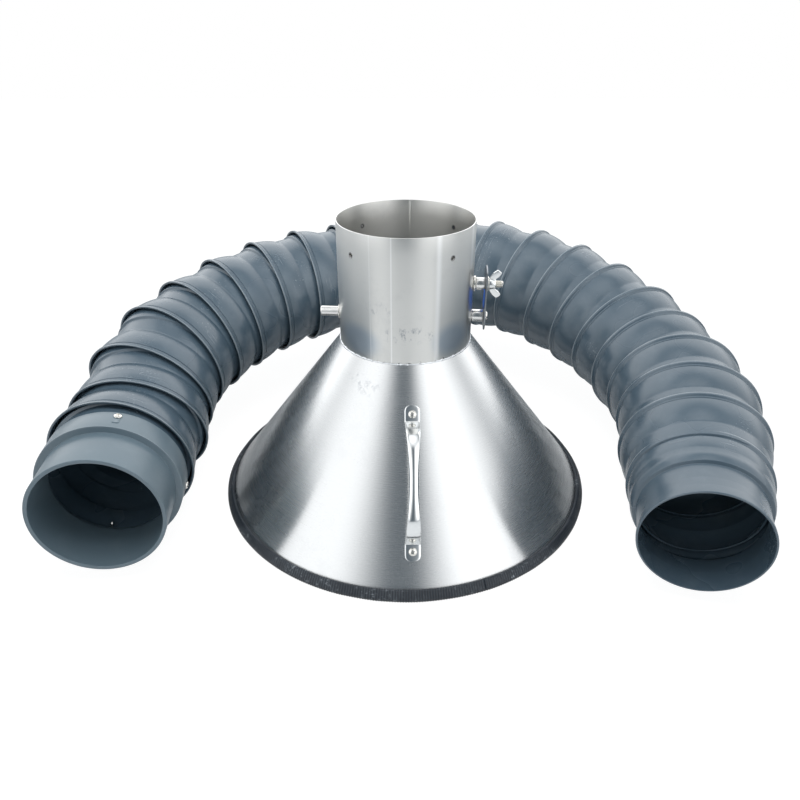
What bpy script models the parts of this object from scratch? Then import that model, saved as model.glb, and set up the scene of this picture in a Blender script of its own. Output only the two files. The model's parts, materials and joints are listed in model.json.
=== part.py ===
"""A fume extraction arm: a chain of interlocking plastic hose rings and a loose sheet-metal hood with a damper."""

import math

import bmesh
import bpy
from mathutils import Matrix, Vector

MM = 0.001
GAP = 0.3 * MM

# Hood
COLLAR_R = 80.0 * MM
SHEET = 1.2 * MM
COLLAR_TOP_Z = 357.0 * MM
CONE_TOP_Z = 213.0 * MM
CONE_LAP = 12.0 * MM
RIM_R = 236.0 * MM
RIM_Z = 4.2 * MM
TRIM_HALF = 5.0 * MM
TRIM_LEG = 9.0 * MM
PILOT_HOLE_R = 1.9 * MM
PILOT_DROP = 27.0 * MM
PILOT_ANGLES = (-139.0, -51.0, 42.0, 132.0)

# Handle, measured down the cone's slope from its top edge
HANDLE_TURN = 2.6
HANDLE_FIRST_SCREW = 60.0 * MM
HANDLE_SPAN = 152.0 * MM
HANDLE_TAB_W = 17.8 * MM
HANDLE_TAB_END = 10.0 * MM
HANDLE_TAB_T = 2.4 * MM
HANDLE_RISE = 30.0 * MM
HANDLE_SCREW_R = 2.4 * MM

# Damper
SHAFT_Z = 240.0 * MM
SHAFT_TURN = -4.5
SHAFT_R = 6.0 * MM
SHAFT_LEFT = 104.0 * MM
DISC_R = 77.0 * MM
DISC_SCREW_X = 32.0 * MM
DISC_SCREW_R = 2.0 * MM
PLATE_STANDOFF = 14.5 * MM
PLATE_T = 2.0 * MM
PLATE_R = 60.0 * MM
PLATE_BOSS_R = 17.0 * MM
SLOT_R = 40.6 * MM
SLOT_SWEEP = 90.0
SPACER_R = 7.35 * MM
LEVER_SCREW_R = 2.9 * MM
FILM_T = 0.3 * MM

# Stud with wing nut
STUD_R = 4.0 * MM
STUD_OUT = 35.0 * MM
STUD_IN = 10.0 * MM
FLANGE_R = 9.0 * MM
FLANGE_T = 2.5 * MM
WASHER_R = 8.5 * MM
WASHER_T = 1.6 * MM
WING_SPAN = 33.0 * MM
WING_REACH = 16.0 * MM
WING_HUB = 8.0 * MM

# One hose ring, along its axis from the centre of its neck's ball joint
RING_COUNT = 22
PITCH = 64.4 * MM
WALL = 2.2 * MM
BALL_R = 85.1 * MM
SEAT_GAP = 1.4 * MM
NECK_END = -29.0 * MM
NECK_STEP = 7.5 * MM
NECK_LEDGE = 2.0 * MM
WAIST_R = 78.4 * MM
LIP_PAST_CENTRE = 8.0 * MM
LIP_R = 87.6 * MM
LIP_WALL = 2.6 * MM
LIP_LENGTH = 3.6 * MM
RING_STEPS = 24

# The first ring is a cuff: shorter, with a plain tube for its neck
CUFF_PITCH = 45.1 * MM
CUFF_END = -42.0 * MM
CUFF_R = 68.0 * MM
CUFF_STEP = 5.4 * MM

# Cut-down last ring, connector and its screws
END_BODY_R = 77.2 * MM
END_BODY_END = 48.0 * MM
BAND_START = 24.0 * MM
BAND_END = 52.0 * MM
BAND_WALL = 5.0 * MM
SPIGOT_R = 73.4 * MM
SPIGOT_WALL = 4.5 * MM
SPIGOT_END = 118.5 * MM
BAND_SCREW_R = 2.0 * MM
BAND_SCREW_FIRST = 77.0
BAND_SCREW_COUNT = 4

# How the arm lies: where its bare end is, how each ring turns from the last and how it slopes
ARM_START = (308.4 * MM, -238.4 * MM)
ARM_HEADING = 73.6
RING_TURNS = (2.7, 1.4, 9.1, 13.4, 10.5, 12.7, 10.9, 7.0, 8.8, 13.4, 13.6, 13.6, 10.2, 5.2, 7.1, 7.8, 11.1, 12.2, 12.0,
              12.9, -0.3, 7.0)
RING_SLOPES = (1.7, 7.5, 6.8, 4.7, 7.2, 12.9, 12.2, 11.5, 7.9, 3.0, 0.7, -0.3, -0.7, -0.6, -0.8, -4.6, -8.9, -10.7,
               -10.6, -16.8, -16.2, -5.0, 1.7)

HOOD_STEPS = 60
SMALL_STEPS = 16

ball_seat_r = BALL_R - WALL
neck_ball_r = ball_seat_r - SEAT_GAP
band_r = END_BODY_R + GAP + BAND_WALL
pitches = [CUFF_PITCH] + [PITCH] * (RING_COUNT - 1)
collar_inner = COLLAR_R - SHEET
lap_r = collar_inner - 1.2 * GAP
plate_inner_x = COLLAR_R + PLATE_STANDOFF
facet_sag = RIM_R * (1 - math.cos(math.pi / HOOD_STEPS))
stud_z = SHAFT_Z + SLOT_R


def clear_scene():
    for obj in list(bpy.data.objects):
        bpy.data.objects.remove(obj, do_unlink=True)


def new_collection(name):
    group = bpy.data.collections.new(name)
    bpy.context.scene.collection.children.link(group)
    return group


def material(name, colour, metallic, roughness):
    made = bpy.data.materials.new(name)
    made.use_nodes = True
    shader = made.node_tree.nodes["Principled BSDF"]
    shader.inputs["Base Color"].default_value = (*colour, 1.0)
    shader.inputs["Metallic"].default_value = metallic
    shader.inputs["Roughness"].default_value = roughness
    return made


def place(name, shape, frame, look=None, group=None):
    """Turns a bmesh into an object that stands at the given frame."""
    bmesh.ops.recalc_face_normals(shape, faces=shape.faces)
    mesh = bpy.data.meshes.new(name)
    shape.to_mesh(mesh)
    shape.free()
    obj = bpy.data.objects.new(name, mesh)
    (group or parts).objects.link(obj)
    obj.matrix_world = frame
    if look:
        mesh.materials.append(material(name, *look))
    return obj


def turned(profile, steps, closed=True):
    """Turns (radius, height) points about local Z. An open profile gets a flat cap at each end."""
    shape = bmesh.new()
    rows = []
    for radius, height in profile:
        angles = [2 * math.pi * i / steps for i in range(steps)]
        rows.append([shape.verts.new((radius * math.cos(a), radius * math.sin(a), height)) for a in angles])
    pairs = list(zip(rows, rows[1:]))
    if closed:
        pairs.append((rows[-1], rows[0]))
    else:
        shape.faces.new(rows[0])
        shape.faces.new(rows[-1])
    for first, second in pairs:
        for i in range(steps):
            j = (i + 1) % steps
            shape.faces.new((first[i], first[j], second[j], second[i]))
    return shape


def extruded(outline, low, high):
    """A prism between two heights over a flat outline of (x, y) points."""
    shape = bmesh.new()
    bottom = [shape.verts.new((x, y, low)) for x, y in outline]
    top = [shape.verts.new((x, y, high)) for x, y in outline]
    shape.faces.new(bottom)
    shape.faces.new(top)
    for i in range(len(outline)):
        j = (i + 1) % len(outline)
        shape.faces.new((bottom[i], bottom[j], top[j], top[i]))
    return shape


def lofted(sections):
    """Joins equal rings of points into one closed body."""
    shape = bmesh.new()
    rows = [[shape.verts.new(p) for p in section] for section in sections]
    for first, second in zip(rows, rows[1:]):
        for i in range(len(first)):
            j = (i + 1) % len(first)
            shape.faces.new((first[i], first[j], second[j], second[i]))
    shape.faces.new(rows[0])
    shape.faces.new(rows[-1])
    return shape


def frame_along(origin, direction, side):
    """A frame whose Z runs along direction and whose X leans towards side."""
    z = Vector(direction).normalized()
    x = Vector(side)
    x = (x - z * x.dot(z)).normalized()
    y = z.cross(x)
    turn = Matrix((x, y, z)).transposed().to_4x4()
    return Matrix.Translation(origin) @ turn


def along_x(x=0.0, y=0.0, z=0.0, out=(1, 0, 0), side=(0, 1, 0)):
    """A frame given as though the damper's shaft lay along X, then turned about the hood's axis with the shaft."""
    return Matrix.Rotation(math.radians(SHAFT_TURN), 4, "Z") @ frame_along((x, y, z), out, side)


def cut(obj, cutter, operation="DIFFERENCE"):
    step = obj.modifiers.new(cutter.name, "BOOLEAN")
    step.operation = operation
    step.solver = "EXACT"
    step.object = cutter
    cutter.hide_render = True
    cutter.display_type = "WIRE"


def hole(name, radius, frame, reach, steps=SMALL_STEPS):
    """A round cutter, from -reach to +reach along its frame's Z."""
    shape = turned([(radius, -reach), (radius, reach)], steps, closed=False)
    return place(name, shape, frame, group=cutters)


def arc(radius, start, end, count, centre=(0.0, 0.0)):
    points = []
    for i in range(count + 1):
        angle = math.radians(start + (end - start) * i / count)
        points.append((centre[0] + radius * math.cos(angle), centre[1] + radius * math.sin(angle)))
    return points


def slope_frame():
    """Down-slope and outward directions of the cone, as (radius, height)."""
    run = RIM_R - lap_r
    fall = CONE_TOP_Z - RIM_Z
    length = math.hypot(run, fall)
    return (run / length, -fall / length), (fall / length, run / length)


def make_collar():
    low = CONE_TOP_Z + GAP
    profile = [(COLLAR_R, low), (COLLAR_R, COLLAR_TOP_Z), (collar_inner, COLLAR_TOP_Z), (collar_inner, low)]
    collar = place("collar", turned(profile, HOOD_STEPS), Matrix(), STEEL)
    for i, angle in enumerate(PILOT_ANGLES):
        a = math.radians(angle)
        out = Vector((math.cos(a), math.sin(a), 0))
        spot = out * COLLAR_R + Vector((0, 0, COLLAR_TOP_Z - PILOT_DROP))
        cut(collar, hole(f"cut_pilot_{i}", PILOT_HOLE_R, frame_along(spot, out, (0, 0, 1)), 4 * MM, 10))
    cut(collar, hole("cut_shaft", SHAFT_R + GAP, along_x(0, 0, SHAFT_Z), 2 * COLLAR_R))
    cut(collar, hole("cut_stud", STUD_R + GAP, along_x(COLLAR_R, 0, stud_z), 8 * MM))


def make_cone():
    (er, ez), (nr, nz) = slope_frame()
    rim_in = (RIM_R - nr * SHEET, RIM_Z - nz * SHEET)
    back = (rim_in[0] - lap_r + SHEET) / er
    lap_z = CONE_TOP_Z + CONE_LAP
    profile = [(lap_r, lap_z), (lap_r, CONE_TOP_Z), (RIM_R, RIM_Z), rim_in]
    profile += [(lap_r - SHEET, rim_in[1] - back * ez), (lap_r - SHEET, lap_z)]
    cone = place("cone", turned(profile, HOOD_STEPS), Matrix(), STEEL)
    for i in range(2):
        frame = handle_point(i * HANDLE_SPAN)
        cut(cone, hole(f"cut_cone_{i}", HANDLE_SCREW_R + GAP, frame, 6 * MM))


def make_trim():
    (er, ez), (nr, nz) = slope_frame()
    slot = SHEET / 2 + GAP
    h = TRIM_HALF
    section = [(-TRIM_LEG, slot), (-TRIM_LEG, 0.84 * h), (-TRIM_LEG + 0.3 * h, h), (0.3 * h, h)]
    section += [(0.8 * h, 0.64 * h), (0.96 * h, 0), (0.8 * h, -0.64 * h), (0.3 * h, -h)]
    section += [(-TRIM_LEG + 0.3 * h, -h), (-TRIM_LEG, -0.84 * h), (-TRIM_LEG, -slot), (GAP, -slot), (GAP, slot)]
    profile = []
    for a, b in section:
        b -= SHEET / 2
        z = RIM_Z + a * ez + b * nz
        profile.append((RIM_R + a * er + b * nr, max(z, 0.0)))
    place("rim_trim", turned(profile, HOOD_STEPS), Matrix(), RUBBER)


def handle_point(down, lift=0.0):
    """A frame on the cone under the handle: Z out of the sheet and X down the slope."""
    (er, ez), (nr, nz) = slope_frame()
    r = lap_r + er * (HANDLE_FIRST_SCREW + down) + nr * lift
    z = CONE_TOP_Z + ez * (HANDLE_FIRST_SCREW + down) + nz * lift
    a = math.radians(-90 + HANDLE_TURN)
    out = Vector((math.cos(a), math.sin(a), 0))
    normal = out * nr + Vector((0, 0, nz))
    slope = out * er + Vector((0, 0, ez))
    return frame_along(out * r + Vector((0, 0, z)), normal, slope)


def handle_section(x, z, width, thick, lean):
    """Eight points of a flat bar section that leans by an angle from the tab's plane."""
    w = width / 2
    t = thick / 2
    c = min(w, t) * 0.55
    ring = [(w, t - c), (w - c, t), (c - w, t), (-w, t - c), (-w, c - t), (c - w, -t), (w - c, -t), (w, c - t)]
    a = math.radians(lean)
    return [(x - q * math.sin(a), p, z + q * math.cos(a)) for p, q in ring]


def make_handle():
    base = GAP + HANDLE_TAB_T / 2
    t = HANDLE_TAB_T
    w = HANDLE_TAB_W
    rise = HANDLE_RISE
    end = HANDLE_TAB_END
    stations = [(-end, base, 0.45 * w, t, 0), (-0.8 * end, base, 0.75 * w, t, 0), (-0.4 * end, base, 0.96 * w, t, 0)]
    stations += [(0, base, w, t, 0), (0.65 * end, base, w, t, 0), (0.95 * end, base + 0.02 * rise, 0.9 * w, 1.2 * t, 12)]
    stations += [(1.35 * end, 0.18 * rise, 0.72 * w, 1.7 * t, 48), (2.0 * end, 0.5 * rise, 0.62 * w, 2.1 * t, 50)]
    stations += [(2.9 * end, 0.8 * rise, 0.56 * w, 2.6 * t, 32), (4.3 * end, 0.95 * rise, 0.5 * w, 2.9 * t, 10)]
    stations += [(HANDLE_SPAN / 2, rise, 0.46 * w, 3.0 * t, 0)]
    back = [(HANDLE_SPAN - x, z, sw, st, -lean) for x, z, sw, st, lean in reversed(stations[:-1])]
    sections = [handle_section(*station) for station in stations + back]
    handle = place("handle", lofted(sections), handle_point(0.0), CHROME)
    for i in range(2):
        frame = handle_point(i * HANDLE_SPAN)
        cut(handle, hole(f"cut_handle_{i}", HANDLE_SCREW_R + GAP, frame, 8 * MM))
        name = ("top", "bottom")[i]
        head = GAP + HANDLE_TAB_T + GAP
        make_screw(f"handle_screw_{name}", frame, head, 4.6 * MM, 2.8 * MM, HANDLE_SCREW_R, 14 * MM, CHROME)
        high = -SHEET - facet_sag - GAP
        make_nut(f"handle_nut_{name}", frame, high - 4.0 * MM, high, 4.6 * MM, HANDLE_SCREW_R, ZINC)


def make_screw(name, frame, seat, head_r, head_h, shank_r, length, look, steps=12):
    """A pan head screw: its head sits at seat and its shank runs down Z."""
    low = seat - length
    profile = [(shank_r * 0.6, low), (shank_r, low + shank_r * 0.5), (shank_r, seat), (head_r, seat)]
    profile += [(head_r, seat + 0.5 * head_h), (0.72 * head_r, seat + head_h)]
    return place(name, turned(profile, steps, closed=False), frame, look)


def make_nut(name, frame, low, high, corner_r, bolt_r, look):
    """A hexagon nut, whose bore clears the bolt's radius."""
    bore = (bolt_r + GAP) / math.cos(math.pi / 6)
    profile = [(bore, low), (corner_r, low), (corner_r, high), (bore, high)]
    return place(name, turned(profile, 6), frame, look)


def make_tube(name, frame, low, high, outer, inner, look, steps=SMALL_STEPS):
    profile = [(inner, low), (outer, low), (outer, high), (inner, high)]
    return place(name, turned(profile, steps), frame, look)


def make_damper():
    axis = along_x(0, 0, SHAFT_Z)
    seat = plate_inner_x - GAP
    tap_r = LEVER_SCREW_R + GAP
    depth = 14 * MM
    chamfer = 0.8 * MM
    profile = [(SHAFT_R - chamfer, -SHAFT_LEFT), (SHAFT_R, -SHAFT_LEFT + chamfer), (SHAFT_R, seat)]
    profile += [(tap_r, seat), (tap_r, seat - depth)]
    shaft = place("damper_shaft", turned(profile, SMALL_STEPS, closed=False), axis, STEEL)
    disc_low = SHAFT_R + GAP
    disc_frame = along_x(0, 0, SHAFT_Z, (0, 1, 0), (1, 0, 0))
    profile = [(DISC_R, disc_low), (DISC_R, disc_low + SHEET)]
    disc = place("damper_disc", turned(profile, HOOD_STEPS, closed=False), disc_frame, STEEL)
    for i, x in enumerate((-DISC_SCREW_X, DISC_SCREW_X)):
        frame = along_x(x, 0, SHAFT_Z, (0, 1, 0), (1, 0, 0))
        cutter = hole(f"cut_disc_{i}", DISC_SCREW_R + GAP, frame, 12 * MM, 12)
        cut(shaft, cutter)
        cut(disc, cutter)
        head = disc_low + SHEET + GAP
        make_screw(f"disc_screw_{i + 1}", frame, head, 3.8 * MM, 2.2 * MM, DISC_SCREW_R, 12.5 * MM, ZINC)
    near = COLLAR_R + GAP
    make_tube("shaft_washer", axis, -near - WASHER_T, -near, WASHER_R, SHAFT_R + GAP, ZINC)
    make_tube("lever_spacer", axis, near, seat, SPACER_R, SHAFT_R + GAP, ZINC)


def make_plate():
    """The lever plate, drawn with local X along world Y and local Y along world Z."""
    frame = along_x(0, 0, SHAFT_Z)
    margin = 14.0
    outline = arc(PLATE_R, -margin, SLOT_SWEEP + margin, 12)
    tangent = math.degrees(math.acos(PLATE_BOSS_R / PLATE_R))
    outline += arc(PLATE_BOSS_R, SLOT_SWEEP + margin + tangent, 360 - margin - tangent, 8)
    plate = place("lever_plate", extruded(outline, plate_inner_x, plate_inner_x + PLATE_T), frame, STEEL)
    half = STUD_R + 1.5 * GAP
    slot = arc(SLOT_R + half, 0, SLOT_SWEEP, 12)
    slot += arc(half, SLOT_SWEEP, SLOT_SWEEP + 180, 6, (0.0, SLOT_R))[1:-1]
    slot += arc(SLOT_R - half, SLOT_SWEEP, 0, 12)
    slot += arc(half, 180, 360, 6, (SLOT_R, 0.0))[1:-1]
    low = plate_inner_x - 4 * MM
    cut(plate, place("cut_slot", extruded(slot, low, low + 10 * MM), frame, group=cutters))
    cut(plate, hole("cut_lever", LEVER_SCREW_R + GAP, along_x(plate_inner_x, 0, SHAFT_Z), 8 * MM, 12))
    outer = plate_inner_x + PLATE_T + GAP
    make_screw("lever_screw", along_x(0, 0, SHAFT_Z), outer, 5.2 * MM, 3.4 * MM, LEVER_SCREW_R, 14 * MM, ZINC)
    film_high = plate_inner_x - 0.1 * MM
    inner_r = SPACER_R + 3.5 * MM
    outer_r = SLOT_R - half - 3.0 * MM
    film = arc(outer_r, 4, 100, 8) + arc(inner_r, 100, 4, 6)
    place("lever_film", extruded(film, film_high - FILM_T, film_high), frame, FILM)


def make_stud():
    axis = along_x(0, 0, stud_z)
    start = COLLAR_R - STUD_IN
    end = COLLAR_R + STUD_OUT
    chamfer = 0.8 * MM
    profile = [(STUD_R - chamfer, start), (STUD_R, start + chamfer), (STUD_R, end - chamfer)]
    profile.append((STUD_R - chamfer, end))
    place("stud", turned(profile, 12, closed=False), axis, ZINC)
    bore = STUD_R + GAP
    near = COLLAR_R + GAP
    make_tube("stud_flange", axis, near, near + FLANGE_T, FLANGE_R, bore, ZINC)
    make_tube("stud_spacer", axis, near + FLANGE_T + GAP, plate_inner_x - GAP, SPACER_R, bore, ZINC)
    high = math.sqrt(collar_inner ** 2 - (7.5 * MM) ** 2) - GAP
    make_nut("stud_nut", axis, high - 6.0 * MM, high, 7.5 * MM, STUD_R, ZINC)
    outer = plate_inner_x + PLATE_T + GAP
    make_tube("clamp_washer", axis, outer, outer + WASHER_T, WASHER_R, bore, ZINC)
    make_wing_nut(outer + WASHER_T + GAP)


def make_wing_nut(start):
    frame = along_x(start, 0, stud_z)
    bore = STUD_R + GAP
    profile = [(bore, 0), (7.2 * MM, 0), (5.8 * MM, WING_HUB), (bore, WING_HUB)]
    nut = place("wing_nut", turned(profile, SMALL_STEPS), frame, CHROME)
    reach = WING_REACH
    half = WING_SPAN / 2
    root = 5.0 * MM
    outline = [(root, 0.12 * reach), (0.55 * half, 0.2 * reach), (0.86 * half, 0.5 * reach), (half, 0.86 * reach)]
    outline += [(0.86 * half, reach), (0.62 * half, 0.88 * reach), (root + 0.9 * MM, 0.42 * reach), (root, 0.4 * reach)]
    for i, side in enumerate((1, -1)):
        wing = extruded([(side * a, b) for a, b in outline], -1.2 * MM, 1.2 * MM)
        turn = Matrix(((0, 0, 1, 0), (1, 0, 0, 0), (0, 1, 0, 0), (0, 0, 0, 1)))
        cut(nut, place(f"join_wing_{i}", wing, frame @ turn, group=cutters), "UNION")


def ball(radius, at, centre=0.0):
    """A point of a sphere's section, at a place along a ring and round a pivot on its axis."""
    return math.sqrt(radius ** 2 - (at - centre) ** 2), at


def ring_neck():
    """The outer and inner points that the rings' ball necks share, as (radius, place along the axis)."""
    outer = [ball(neck_ball_r, at) for at in (NECK_END, 0.4 * NECK_END, NECK_STEP)]
    inner = [ball(neck_ball_r - WALL, at) for at in (0.8 * NECK_STEP, NECK_END)]
    return outer, inner


def ring_lip(pitch):
    """The barrel's outer points up to the lip, then the points of the lip and the seat inside."""
    lip = pitch + LIP_PAST_CENTRE
    body = [ball(BALL_R, pitch - 0.2 * BALL_R, pitch)]
    body += [(BALL_R, lip - LIP_LENGTH - 0.6 * WALL), (LIP_R, lip - LIP_LENGTH), (LIP_R, lip)]
    seat = [(LIP_R - LIP_WALL, lip)]
    seat += [ball(ball_seat_r, pitch - share * ball_seat_r, pitch) for share in (0.0, 0.2)]
    return body + seat


def ring_profile():
    neck_out, neck_in = ring_neck()
    end = PITCH - math.sqrt(BALL_R ** 2 - WAIST_R ** 2)
    waist = [(WAIST_R, NECK_STEP + NECK_LEDGE), (WAIST_R, end)]
    inside = [(WAIST_R - 1.1 * WALL, end), (WAIST_R - 1.1 * WALL, NECK_STEP + NECK_LEDGE)]
    return neck_out + waist + ring_lip(PITCH) + inside + neck_in


def cuff_profile():
    start = CUFF_STEP + NECK_LEDGE
    neck = [(CUFF_R, CUFF_END), (0.985 * CUFF_R, 0.5 * CUFF_END), (CUFF_R, CUFF_STEP)]
    body = [ball(0.97 * BALL_R, start, CUFF_PITCH), ball(BALL_R, CUFF_PITCH - 0.37 * BALL_R, CUFF_PITCH)]
    inside = [ball(ball_seat_r, CUFF_PITCH - 0.4 * ball_seat_r, CUFF_PITCH), (1.1 * CUFF_R, start)]
    inside += [(CUFF_R - WALL, CUFF_STEP), (0.985 * CUFF_R - WALL, 0.5 * CUFF_END), (CUFF_R - WALL, CUFF_END)]
    return neck + body + ring_lip(CUFF_PITCH) + inside


def end_profile():
    neck_out, neck_in = ring_neck()
    start = NECK_STEP + NECK_LEDGE
    body = [(END_BODY_R, start), (END_BODY_R, END_BODY_END), (END_BODY_R - WALL, END_BODY_END), (END_BODY_R - WALL, start)]
    return neck_out + body + neck_in


def connector_profile():
    bore = END_BODY_R + GAP
    shoulder = END_BODY_END + GAP
    tip = SPIGOT_R - SPIGOT_WALL
    outer = [(band_r, BAND_START), (band_r, BAND_END), (SPIGOT_R, BAND_END + 3 * MM), (SPIGOT_R, SPIGOT_END)]
    inner = [(tip, SPIGOT_END), (tip, shoulder + 6 * MM), (tip + 1.5 * MM, shoulder), (bore, shoulder), (bore, BAND_START)]
    return outer + inner


def level_slopes():
    """The slopes, with the falling ones eased until the last ring's lip rests on the floor like the cuff's."""
    low, high = 0.5, 1.5
    for _ in range(40):
        ease = (low + high) / 2
        slopes = [math.radians(s * ease if s < 0 else s) for s in RING_SLOPES]
        rise = LIP_R * math.cos(slopes[0]) - (CUFF_PITCH + LIP_PAST_CENTRE) * math.sin(slopes[0])
        rise += sum(pitch * math.sin(s) for pitch, s in zip(pitches[:-1], slopes))
        rise += (PITCH + LIP_PAST_CENTRE) * math.sin(slopes[-2]) - LIP_R * math.cos(slopes[-2])
        if rise < 0:
            high = ease
        else:
            low = ease
    return slopes


def arm_frames():
    """One frame for each ring and the end ring, with Z along the ring's axis and its origin on its neck's pivot."""
    heading = ARM_HEADING
    slopes = level_slopes()
    directions = []
    for i, s in enumerate(slopes):
        if i:
            heading += RING_TURNS[i - 1]
        a = math.radians(heading)
        directions.append(Vector((math.cos(s) * math.cos(a), math.cos(s) * math.sin(a), math.sin(s))))
    spot = Vector((*ARM_START, 0)) - directions[0] * CUFF_END
    spot.z = LIP_R * math.cos(slopes[0]) - (CUFF_PITCH + LIP_PAST_CENTRE) * math.sin(slopes[0])
    frames = [frame_along(spot, directions[0], (0, 0, 1))]
    for before, after, pitch in zip(directions, directions[1:], pitches):
        spot = spot + before * pitch
        turn = before.rotation_difference(after).to_matrix().to_4x4()
        frames.append(Matrix.Translation(spot) @ turn @ frames[-1].to_3x3().to_4x4())
    return frames


def make_arm():
    frames = arm_frames()
    for i in range(RING_COUNT):
        profile = ring_profile() if i else cuff_profile()
        place(f"ring_{i + 1:02d}", turned(profile, RING_STEPS), frames[i], HOSE)
    end = frames[RING_COUNT]
    end_ring = place("ring_end", turned(end_profile(), RING_STEPS), end, HOSE)
    connector = place("connector", turned(connector_profile(), RING_STEPS), end, GREY)
    along = Vector(end.col[2][:3])
    up = Vector((0, 0, 1))
    side = along.cross(up).normalized()
    middle = Vector(end.translation) + along * (BAND_START + BAND_END) / 2
    for i in range(BAND_SCREW_COUNT):
        a = math.radians(BAND_SCREW_FIRST - 360.0 * i / BAND_SCREW_COUNT)
        out = -side * math.cos(a) + side.cross(along) * math.sin(a)
        frame = frame_along(middle, out, along)
        cutter = hole(f"cut_band_{i}", BAND_SCREW_R + GAP, frame_along(middle + out * band_r, out, along), 12 * MM, 10)
        cut(end_ring, cutter)
        cut(connector, cutter)
        make_screw(f"band_screw_{i + 1}", frame, band_r + GAP, 4.1 * MM, 2.6 * MM, BAND_SCREW_R, 13 * MM, ZINC, 10)


def centre_on_floor():
    """Moves everything so that the origin is at the middle of the base of the bounding box."""
    bpy.context.view_layer.update()
    graph = bpy.context.evaluated_depsgraph_get()
    corners = []
    for obj in parts.objects:
        made = obj.evaluated_get(graph)
        mesh = made.to_mesh()
        corners += [made.matrix_world @ v.co for v in mesh.vertices]
        made.to_mesh_clear()
    middle_x = (min(c.x for c in corners) + max(c.x for c in corners)) / 2
    middle_y = (min(c.y for c in corners) + max(c.y for c in corners)) / 2
    floor = min(c.z for c in corners)
    shift = Matrix.Translation((-middle_x, -middle_y, -floor))
    for obj in list(parts.objects) + list(cutters.objects):
        obj.matrix_world = shift @ obj.matrix_world
    bpy.context.view_layer.update()
    return shift


STEEL = ((0.62, 0.63, 0.64), 1.0, 0.32)
CHROME = ((0.80, 0.80, 0.81), 1.0, 0.12)
ZINC = ((0.66, 0.64, 0.58), 1.0, 0.30)
RUBBER = ((0.025, 0.027, 0.030), 0.0, 0.60)
HOSE = ((0.085, 0.110, 0.135), 0.0, 0.42)
GREY = ((0.115, 0.145, 0.165), 0.0, 0.40)
FILM = ((0.02, 0.09, 0.62), 0.0, 0.30)

clear_scene()
parts = new_collection("fume_extraction_arm")
cutters = new_collection("cutters")
cutters.hide_render = True
make_collar()
make_cone()
make_trim()
make_handle()
make_damper()
make_plate()
make_stud()
make_arm()
centre_on_floor()
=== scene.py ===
"""The looks of the fume extraction arm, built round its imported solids."""

import json
import math
import random

import bmesh
import bpy
from mathutils import Matrix, Vector, noise


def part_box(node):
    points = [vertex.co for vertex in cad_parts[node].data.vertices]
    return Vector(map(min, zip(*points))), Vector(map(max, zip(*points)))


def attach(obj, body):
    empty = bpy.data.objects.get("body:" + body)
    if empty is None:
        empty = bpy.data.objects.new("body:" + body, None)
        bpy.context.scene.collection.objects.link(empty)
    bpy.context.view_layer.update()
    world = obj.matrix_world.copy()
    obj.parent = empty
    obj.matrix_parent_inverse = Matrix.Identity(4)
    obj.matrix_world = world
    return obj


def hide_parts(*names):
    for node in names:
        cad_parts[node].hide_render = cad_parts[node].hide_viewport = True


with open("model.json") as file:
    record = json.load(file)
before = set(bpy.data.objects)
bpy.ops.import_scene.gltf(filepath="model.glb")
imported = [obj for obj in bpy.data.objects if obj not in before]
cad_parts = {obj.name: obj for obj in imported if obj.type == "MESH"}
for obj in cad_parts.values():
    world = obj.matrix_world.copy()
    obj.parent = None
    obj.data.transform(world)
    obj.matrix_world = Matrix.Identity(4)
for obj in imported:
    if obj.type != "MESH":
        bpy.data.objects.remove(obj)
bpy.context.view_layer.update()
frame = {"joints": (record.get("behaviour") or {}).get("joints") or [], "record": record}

MM = 0.001
GAP = 0.3 * MM

# Sizes of the hood, most of them shared with the solids
COLLAR_R = 80.0 * MM
SHEET = 1.2 * MM
COLLAR_TOP = 357.0 * MM
CONE_TOP = 213.0 * MM
LAP_R = COLLAR_R - SHEET - 0.36 * MM
RIM_R = 236.0 * MM
RIM_Z = 4.2 * MM
PILOT_Z = COLLAR_TOP - 27.0 * MM
PILOT_ANGLES = (-139.0, -51.0, 42.0, 132.0)
SHAFT_Z = 240.0 * MM
SHAFT_R = 6.0 * MM
SHAFT_TURN = -4.5
DISC_R = 77.0 * MM
SLOT_R = 40.6 * MM
STUD_Z = SHAFT_Z + SLOT_R
STUD_HOLE_R = 4.3 * MM
STUD_OUT = 35.0 * MM
PLATE_X = COLLAR_R + 14.5 * MM
PLATE_T = 1.6 * MM
SPACER_R = 7.35 * MM
WASHER_R = 8.5 * MM
WASHER_T = 1.6 * MM
TRIM_REACH = 240.8 * MM
HANDLE_TURN = 2.6
HANDLE_LEAN = -1.5
HANDLE_FIRST = 60.0 * MM
HANDLE_SPAN = 152.0 * MM

# Sizes of the arm in millimetres: radii, and places along a ring's axis from its pivot
BALL_R = 85.1
NECK_R = 81.5
WAIST_R = 78.4
WALL = 2.2
CUFF_PITCH = 45.1
CUFF_BALL_R = 77.0
END_RING_R = 77.2
BAND_R = 81.2
BAND_FROM = 32.0
BAND_TO = 64.3
BAND_SCREWS = 41.0
SPIGOT_R = 73.4
SPIGOT_BORE_R = 68.9
SPIGOT_TO = 118.5

# The photograph's camera: its focal length and width in pixels, its place from the hood and its angle down
FOCAL_PIXELS = 683.0
PICTURE_PIXELS = 800.0
CAMERA_PLACE = (-0.0067, -0.7712, 0.5704)
CAMERA_DOWN = 30.45
SENSOR = 36.0

# Numbers of ribs and of steps round an axis
TRIM_RIBS = 500
TRIM_STEPS = 2000
COLLAR_STEPS = 720
RING_STEPS = 96

random.seed(7)


def socket(tree, node, name, value):
    """Links a socket to a value that is a socket, and sets any other value."""
    if isinstance(value, bpy.types.NodeSocket):
        tree.links.new(value, node.inputs[name])
    else:
        node.inputs[name].default_value = value


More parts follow.
